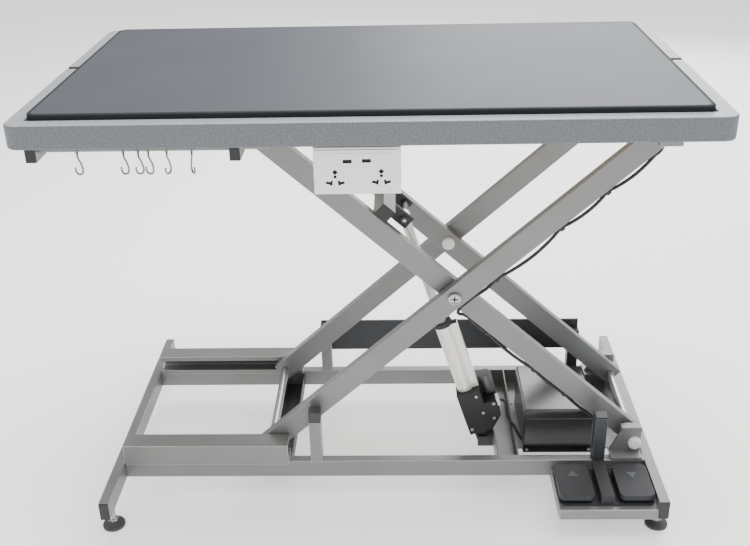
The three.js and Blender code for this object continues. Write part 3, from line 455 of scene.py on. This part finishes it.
# The cut sides of the mat: black and matt. The same black is painted shade on a thin band round the mat's top and on
# the board's top under the mat, where the gap to the edging is in shadow.
mat_side_and_gap_shade = mottled("black_mat_sides_and_painted_gap_shade", "222427", "2e3033", 8, (0.6, 0.8), grain=2.0, depth=0.2,
                   Specular_IOR_Level=0.16)
# The board's top is painted black as the shade seen in the gaps beside the mat's rounded corners.
recolour(board, mat_side_and_gap_shade, lambda s: s.z > 0.8822)
bpy.ops.object.select_all(action="DESELECT")
bpy.ops.mesh.primitive_cube_add(size=1, location=(0, 0, 0.8886), scale=(1.1374, 0.6374, 0.012))
mat = bpy.context.object
mat.name = "table_mat_cut"
bpy.ops.object.transform_apply()
mat.data.materials.append(mat_face)
mat.data.materials.append(mat_side_and_gap_shade)
bpy.context.tool_settings.mesh_select_mode = (False, True, False)
bpy.ops.object.mode_set(mode="EDIT")
bpy.ops.mesh.select_all(action="DESELECT")
bpy.ops.object.mode_set(mode="OBJECT")
for side in mat.data.edges:
    one, two = (mat.data.vertices[number].co for number in side.vertices)
    side.select = (one - two).xy.length < 1e-5
bpy.ops.object.mode_set(mode="EDIT")
bpy.ops.mesh.bevel(offset=0.018, segments=6, affect="EDGES")
bpy.ops.object.mode_set(mode="OBJECT")
edge = mat.modifiers.new("rounded_edges", "BEVEL")
edge.width = 0.003
edge.segments = 3
edge.limit_method = "ANGLE"
edge.angle_limit = radians(40)
bpy.ops.object.modifier_apply(modifier=edge.name)
# The top is inset to leave a thin band round its edge, which gets the black as painted shade of the gap between mat
# and edging.
bpy.context.tool_settings.mesh_select_mode = (False, False, True)
for face in mat.data.polygons:
    face.select = face.center.z > mat_top - hair
bpy.ops.object.mode_set(mode="EDIT")
bpy.ops.mesh.inset(thickness=0.0045)
bpy.ops.object.mode_set(mode="OBJECT")
bpy.context.tool_settings.mesh_select_mode = (True, False, False)
for face in mat.data.polygons:
    face.material_index = 0 if face.select else 1
bpy.ops.object.shade_smooth_by_angle(angle=radians(40))
even(mat)
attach(mat, "table")
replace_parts(mat, "table_mat")

# Hooks: bright nickel-plated wire, bent to a loop round the rod and an open bend below. They hang free and
# each is turned its own way.


# A round lead or wire along a smooth run of points, made a mesh.
def lead(name, points, radius, sides=12):
    line = bpy.data.curves.new(name, "CURVE")
    line.dimensions = "3D"
    line.bevel_depth = radius
    line.bevel_resolution = sides // 4
    line.use_fill_caps = True
    spline = line.splines.new("BEZIER")
    spline.bezier_points.add(len(points) - 1)
    for knot, spot in zip(spline.bezier_points, points):
        knot.co = spot
        knot.handle_left_type = knot.handle_right_type = "AUTO"
    spline.resolution_u = 6
    bpy.ops.object.select_all(action="DESELECT")
    made = bpy.data.objects.new(name, line)
    bpy.context.collection.objects.link(made)
    bpy.context.view_layer.objects.active = made
    made.select_set(True)
    bpy.ops.object.convert(target="MESH")
    made = bpy.context.object
    bpy.ops.object.shade_smooth_by_angle(angle=radians(50))
    return made


# Nickel-plated wire: a grey mirror with dull patches about 8 mm long where hands have worn it.
nickel = mottled("nickel_plated_wire", "666563", "9b9995", 8, (0.16, 0.3), Metallic=1.0)
rod_y, rod_z, loop, bend = -0.320, 0.83431, 0.0059, 0.006
bend_z = rod_z - 0.0455 + 0.0015 + bend
places = ((-0.489, 0), (-0.411, 0), (-0.386, 8), (-0.369, 0), (-0.338, 56), (-0.296, 125))
for number, (x, turned_by) in enumerate(places, 1):
    out = Vector((cos(radians(turned_by)), sin(radians(turned_by)), 0))
    points = [Vector((x, rod_y + loop * cos(radians(a)), rod_z + loop * sin(radians(a))))
              for a in (220, 180, 135, 90, 45, 0, -45)]
    points.append(Vector((x, rod_y, rod_z - loop - 0.006)))
    points.append(Vector((x, rod_y, bend_z + 2 * bend)) + out * bend * 0.75)
    for a in (0, 45, 90, 135, 180):
        points.append(Vector((x, rod_y, bend_z - bend * sin(radians(a)))) + out * bend * cos(radians(a)))
    points.append(Vector((x, rod_y, bend_z + bend)) - out * bend)
    hook = lead(f"hook_{number}_wire", points, 0.0017)
    fit(hook, nickel, f"hook_{number}")
    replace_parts(hook, f"hook_{number}")

# Twin socket box: glossy white ABS with two universal sockets and two USB slots, screwed to a
# grey folded plate under the board. The holes are cut, with painted shade inside them.

# Glossy white ABS: clean and bright, with only a slight drift in its gloss.
white = mottled("glossy_white_abs", "f6f6f4", "ffffff", 50, (0.2, 0.3))
# Painted shade inside the holes: near black, as the holes are in shadow.
hole_shade = mottled("painted_shade_in_socket_holes", "0b0b0c", "151516", 4, (0.5, 0.7))
socket = eased("socket_box", white, 0.0025, 3)
recolour(socket, powder, lambda s: s.y > -0.2935)
socket_front = -0.3376
cuts = []
for cx, cz in ((-0.0562, 0.7841), (0.0209, 0.785)):
    cuts += [((cx, cz + 0.0112), (0.0070, 0.0070), 45), ((cx, cz + 0.0034), (0.0050, 0.0050), 0)]
    for side in (-1, 1):
        cuts += [((cx + side * 0.0102, cz - 0.008), (0.0112, 0.0046), side * -12),
                 ((cx + side * 0.0066, cz - 0.0078), (0.0040, 0.0086), side * -12)]
cuts += [((-0.0352, 0.814), (0.0150, 0.0064), 0), ((-0.0033, 0.8149), (0.0150, 0.0064), 0)]
cutters = []
for (cx, cz), (wide, tall), lean in cuts:
    cutter = rounded_block("socket_cutter", (-wide / 2, -0.003, -tall / 2), (wide / 2, 0.0022, tall / 2), 0.0008, 2,
                           tilt=radians(lean), spot=(cx, socket_front, cz))
    cutter.data.materials.append(hole_shade)
    cutters.append(cutter)
bpy.ops.object.select_all(action="DESELECT")
for cutter in cutters:
    cutter.select_set(True)
bpy.context.view_layer.objects.active = cutters[0]
bpy.ops.object.join()
cutter = bpy.context.object
for name, low, high in (("socket_face_plate", (-0.0885, -0.3372, 0.7585), (0.0505, -0.3350, 0.8335)),
                        ("socket_module", (-0.0768, -0.3380, 0.7650), (0.0388, -0.3360, 0.8280))):
    face = rounded_block(name, low, high, 0.0007)
    face.data.materials.append(white)
    cut = face.modifiers.new("socket_holes", "BOOLEAN")
    cut.object = cutter
    cut.solver = "EXACT"
    cut.use_self = True
    cut.material_mode = "TRANSFER"
    bpy.ops.object.modifier_apply(modifier=cut.name)
    bpy.ops.object.shade_smooth_by_angle(angle=radians(20))
    even(face)
    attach(face, "table")
bpy.data.objects.remove(cutter)

# Linear actuator: bright aluminium tube with a flat cable channel beside it, a black collar, a
# chromed rod with an eye, a black moulded gearbox with steel screws, and a motor beside the tube.

# Anodised aluminium: pale, warm and satin from the bath.
aluminium = mottled("bright_anodised_aluminium", "efece4", "f8f6f0", 30, (0.24, 0.34), Metallic=0.3)
# Glass-filled nylon: near black and dull, with a 1.8 mm spark-eroded grain.
housing = mottled("black_glass_filled_nylon", "101113", "1b1d1f", 14, (0.45, 0.62), grain=1.8, depth=0.18)
# Motor can: drawn steel with a grey metallic coat.
motor_coat = mottled("grey_motor_can", "5d6063", "6d7073", 18, (0.32, 0.45), Metallic=0.6)
lean_back = radians(-17.79)
low_pin = Vector((0.232, -0.063, 0.0585))


# Where a spot beside and along the actuator lies in the table's frame.
def on_actuator(out, y, along):
    return low_pin + Vector((out * cos(lean_back) + along * sin(lean_back), y,
                             -out * sin(lean_back) + along * cos(lean_back)))


tube = eased("actuator_tube", aluminium, 0.001)
along_axis = Vector((sin(lean_back), 0, cos(lean_back)))
recolour(tube, black_plastic_and_slot_shade, lambda s: (s - low_pin).dot(along_axis) > 0.3048)
# Rod: ground and satin chromed, light and slightly warm.
rod_steel = mottled("satin_chromed_rod", "e2ded6", "efece5", 25, (0.18, 0.28), Metallic=0.3)
eased("actuator_rod", rod_steel, 0.001)
eased("actuator_gearbox", housing, 0.004, 3)
eased("actuator_motor", motor_coat, 0.002, 3)
gearbox_face = -0.0288
first_spot = on_actuator(0.019, gearbox_face, 0.127)
screw = turned("gearbox_screw_1", [(0.0036, 0), (0.0036, 0.0012), (0.0028, 0.0022), (0.0016, 0.0023),
                                   (0.0013, 0.0008)], (0, -1, 0), tuple(first_spot), sides=20)
fit(screw, zinc, "actuator")
for number, (out, along) in enumerate(((-0.013, 0.048), (0.022, 0.082), (0.041, 0.062), (0.05, 0.098)), 2):
    move = Matrix.Translation(on_actuator(out, gearbox_face, along) - first_spot)
    again(screw, f"gearbox_screw_{number}", move, "actuator")
connector = rounded_block("motor_connector", (0.0572, -0.0272, 0.0885), (0.0640, -0.0112, 0.1115), 0.0012,
                          tilt=lean_back, spot=tuple(low_pin))
fit(connector, nylon, "actuator")

# Control box: black moulded case in two halves on a flange, with a seam round it and four screws. It
# stands on a coated steel plate between the right channel, the rear tube and the right tube.

# Dark ABS: satin from a fine 1.8 mm grain, so that its top takes the light.
case = mottled("dark_textured_abs", "17191b", "222427", 20, (0.26, 0.36), grain=1.8, depth=0.14,
               Coat_Weight=0.7, Coat_Roughness=0.22)
box = eased("control_box", case, 0.005, 4)
recolour(box, powder, lambda s: s.z < 0.0551)
plate = rounded_block("control_box_plate_rear", (0.2995, 0.0822, 0.0521), (0.5595, 0.1686, 0.0549), 0.0006)
fit(plate, powder, "base")
lid = rounded_block("control_box_lid", (0.3155, -0.0995, 0.128), (0.4685, 0.0835, 0.1545), 0.006, 4)
fit(lid, case, "base")
flange = rounded_block("control_box_flange", (0.3150, -0.1120, 0.0522), (0.4690, -0.0975, 0.0548), 0.0008)
fit(flange, case, "base")
screw = turned("control_box_screw_1", [(0.0042, 0), (0.0042, 0.0014), (0.0032, 0.0026), (0.0018, 0.0027),
                                       (0.0015, 0.001)], (0, 0, 1), (0.324, -0.105, 0.0548), sides=20)
fit(screw, zinc, "base")
for number, step in enumerate(((0.136, 0, 0), (-0.016, 0.18, 0), (0.152, 0.18, 0)), 2):
    again(screw, f"control_box_screw_{number}", Matrix.Translation(step), "base")

# Motor lead: a soft black PVC lead, 6 mm thick, that hangs free from the plug on the gearbox,
# passes over the cross channel and goes into the left side of the control box.
route = [(0.2627, -0.0823, 0.1723), (0.2689, -0.0822, 0.1701), (0.2745, -0.0823, 0.1666), (0.2769, -0.0829, 0.1606),
         (0.2778, -0.0837, 0.1540), (0.2782, -0.0844, 0.1475), (0.2787, -0.0852, 0.1409), (0.2798, -0.0858, 0.1344),
         (0.2819, -0.0861, 0.1281), (0.2850, -0.0862, 0.1223), (0.2886, -0.0862, 0.1167), (0.2922, -0.0861, 0.1111),
         (0.2957, -0.0860, 0.1055), (0.2988, -0.0860, 0.0996), (0.3017, -0.0860, 0.0937), (0.3046, -0.0860, 0.0877),
         (0.3076, -0.0860, 0.0818), (0.3107, -0.0860, 0.0759), (0.3137, -0.0860, 0.0700)]

# Soft PVC: black and half matt, with paler scuffs about 11 mm long.
pvc = bare("black_pvc_lead")
spots = put(pvc, "ShaderNodeTexCoord")
scuff = put(pvc, "ShaderNodeTexNoise", {"Vector": (spots, "Object"), "Scale": 1000 / 11, "Detail": 3.0})
tint = put(pvc, "ShaderNodeMix", {0: (scuff, "Fac"), 6: linear("151617"), 7: linear("2a2b2d")}, data_type="RGBA")
sheen = put(pvc, "ShaderNodeMapRange", {"Value": (scuff, "Fac"), "To Min": 0.45, "To Max": 0.62})
shade(pvc, Base_Color=(tint, 2), Roughness=(sheen, "Result"))
motor_lead = lead("motor_lead_pvc", route, 0.003)
motor_lead.data.materials.append(pvc)
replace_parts(motor_lead, "motor_lead")
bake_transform(motor_lead)

# Foot switch: charcoal moulded base with a ridge, and two soft-cornered pedals with plain arrows
# for up and down, printed thick in grey. The pedals tip on a pin at their back.

# Charcoal ABS: matt from a 1.6 mm grain, coarser than the real one so that it shows.
switch_plastic = mottled("charcoal_moulded_abs", "25272b", "303337", 12, (0.55, 0.7), grain=1.6, depth=0.2)
eased("footswitch_base", switch_plastic, 0.002, 3)
# Grey ink, a shade lighter than the pedal and as matt.
arrow_ink = mottled("grey_pad_printed_ink", "44474b", "505458", 6, (0.5, 0.6))
for name in ("left", "right"):
    eased(f"pedal_{name}", switch_plastic, 0.0038, 4)
left_x, right_x, arrow_y, pedal_top = 0.401, 0.521, -0.240, 0.0926
arrow = turned("pedal_left_arrow", [(0.013, 0), (0.013, 0.0005), (0.0122, 0.0009)], (0, 0, 1),
               (left_x, arrow_y, pedal_top), sides=3)
bpy.ops.object.mode_set(mode="EDIT")
bpy.ops.mesh.select_all(action="SELECT")
bpy.ops.transform.rotate(value=pi, orient_axis="Z", center_override=(left_x, arrow_y, pedal_top))
bpy.ops.object.mode_set(mode="OBJECT")
fit(arrow, arrow_ink, "pedal_left")
half_turn = (Matrix.Translation((right_x, arrow_y, 0)) @ Matrix.Rotation(pi, 4, "Z")
             @ Matrix.Translation((-left_x, -arrow_y, 0)))
again(arrow, "pedal_right_arrow", half_turn, "pedal_right")

# Power lead: black PVC, clipped under the front outer arm, looped at the middle pivot and clipped
# under the front inner arm, with free bends at the hinges to the board and the control box.
slope = {"outer_arms": -tilt, "inner_arms": tilt}
outer_y, inner_y, under_arm, power_radius = -0.148, -0.121, -0.0258, 0.0034


# Where a spot along and under a front arm lies in the table's frame.
def on_arm(body, along, y, under):
    a = slope[body]
    return (mid.x + along * cos(a) + under * sin(a), y, mid.z - along * sin(a) + under * cos(a))


for body, y, first, last, node, dip in (("outer_arms", outer_y, 0.030, 0.468, "power_lead_upper", 0.0095),
                                        ("inner_arms", inner_y, 0.072, 0.430, "power_lead_lower", 0.0045)):
    ties = (0.0, 0.13, 0.5, 0.75, 1.0)
    points = []
    for start, stop in zip(ties, ties[1:]):
        for step in range(6):
            part = step / 6
            hang = dip * sin(part * pi) * min(1, (stop - start) / 0.37)
            points.append(on_arm(body, first + (last - first) * (start + (stop - start) * part), y, under_arm - hang))
    points.append(on_arm(body, last, y, under_arm))
    run = lead(node + "_pvc", points, power_radius)
    fit(run, pvc, body)
    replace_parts(run, node)
    clip_spots = [first + (last - first) * tie for tie in ties[1:4]]
    clip = rounded_block(node + "_clip_1", (clip_spots[0] - 0.005, y - 0.0055, -0.0308),
                         (clip_spots[0] + 0.005, y + 0.0055, -0.0222), 0.0018, tilt=slope[body], spot=tuple(mid))
    fit(clip, black_plastic_and_slot_shade, body)
    for number, along in enumerate(clip_spots[1:], 2):
        move = Vector(on_arm(body, along, y, 0)) - Vector(on_arm(body, clip_spots[0], y, 0))
        again(clip, f"{node}_clip_{number}", Matrix.Translation(move), body)
bends = (
    ("power_lead_loop", "outer_arms", "inner_arms", 2, 5, [
        on_arm("outer_arms", 0.034, outer_y, under_arm), on_arm("outer_arms", 0.012, outer_y, -0.0262),
        (0.1700, -0.1445, 0.4335), (0.1655, -0.1400, 0.4210), (0.1690, -0.1310, 0.4115),
        (0.1790, -0.1215, 0.4040), on_arm("inner_arms", 0.062, -0.1205, under_arm),
        on_arm("inner_arms", 0.076, inner_y, under_arm)]),
    ("power_lead_top_bend", "outer_arms", "table", 1, 5, [
        on_arm("outer_arms", 0.462, outer_y, under_arm), on_arm("outer_arms", 0.478, outer_y, under_arm),
        (0.538, -0.138, 0.7690), (0.556, -0.122, 0.7850), (0.562, -0.108, 0.8080), (0.560, -0.102, 0.8300),
        (0.560, -0.101, 0.8440)]),
    ("power_lead_low_bend", "inner_arms", "base", 1, 4, [
        on_arm("inner_arms", 0.424, inner_y, under_arm), on_arm("inner_arms", 0.438, inner_y, under_arm),
        (0.4790, -0.1120, 0.1330), (0.4840, -0.0980, 0.1200), (0.4780, -0.0840, 0.1120),
        (0.4672, -0.0780, 0.1100)]))
for name, body, next_body, first, last, points in bends:
    bend_lead = lead(name, points, power_radius)
    bend_lead.data.materials.append(pvc)
    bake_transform(bend_lead)
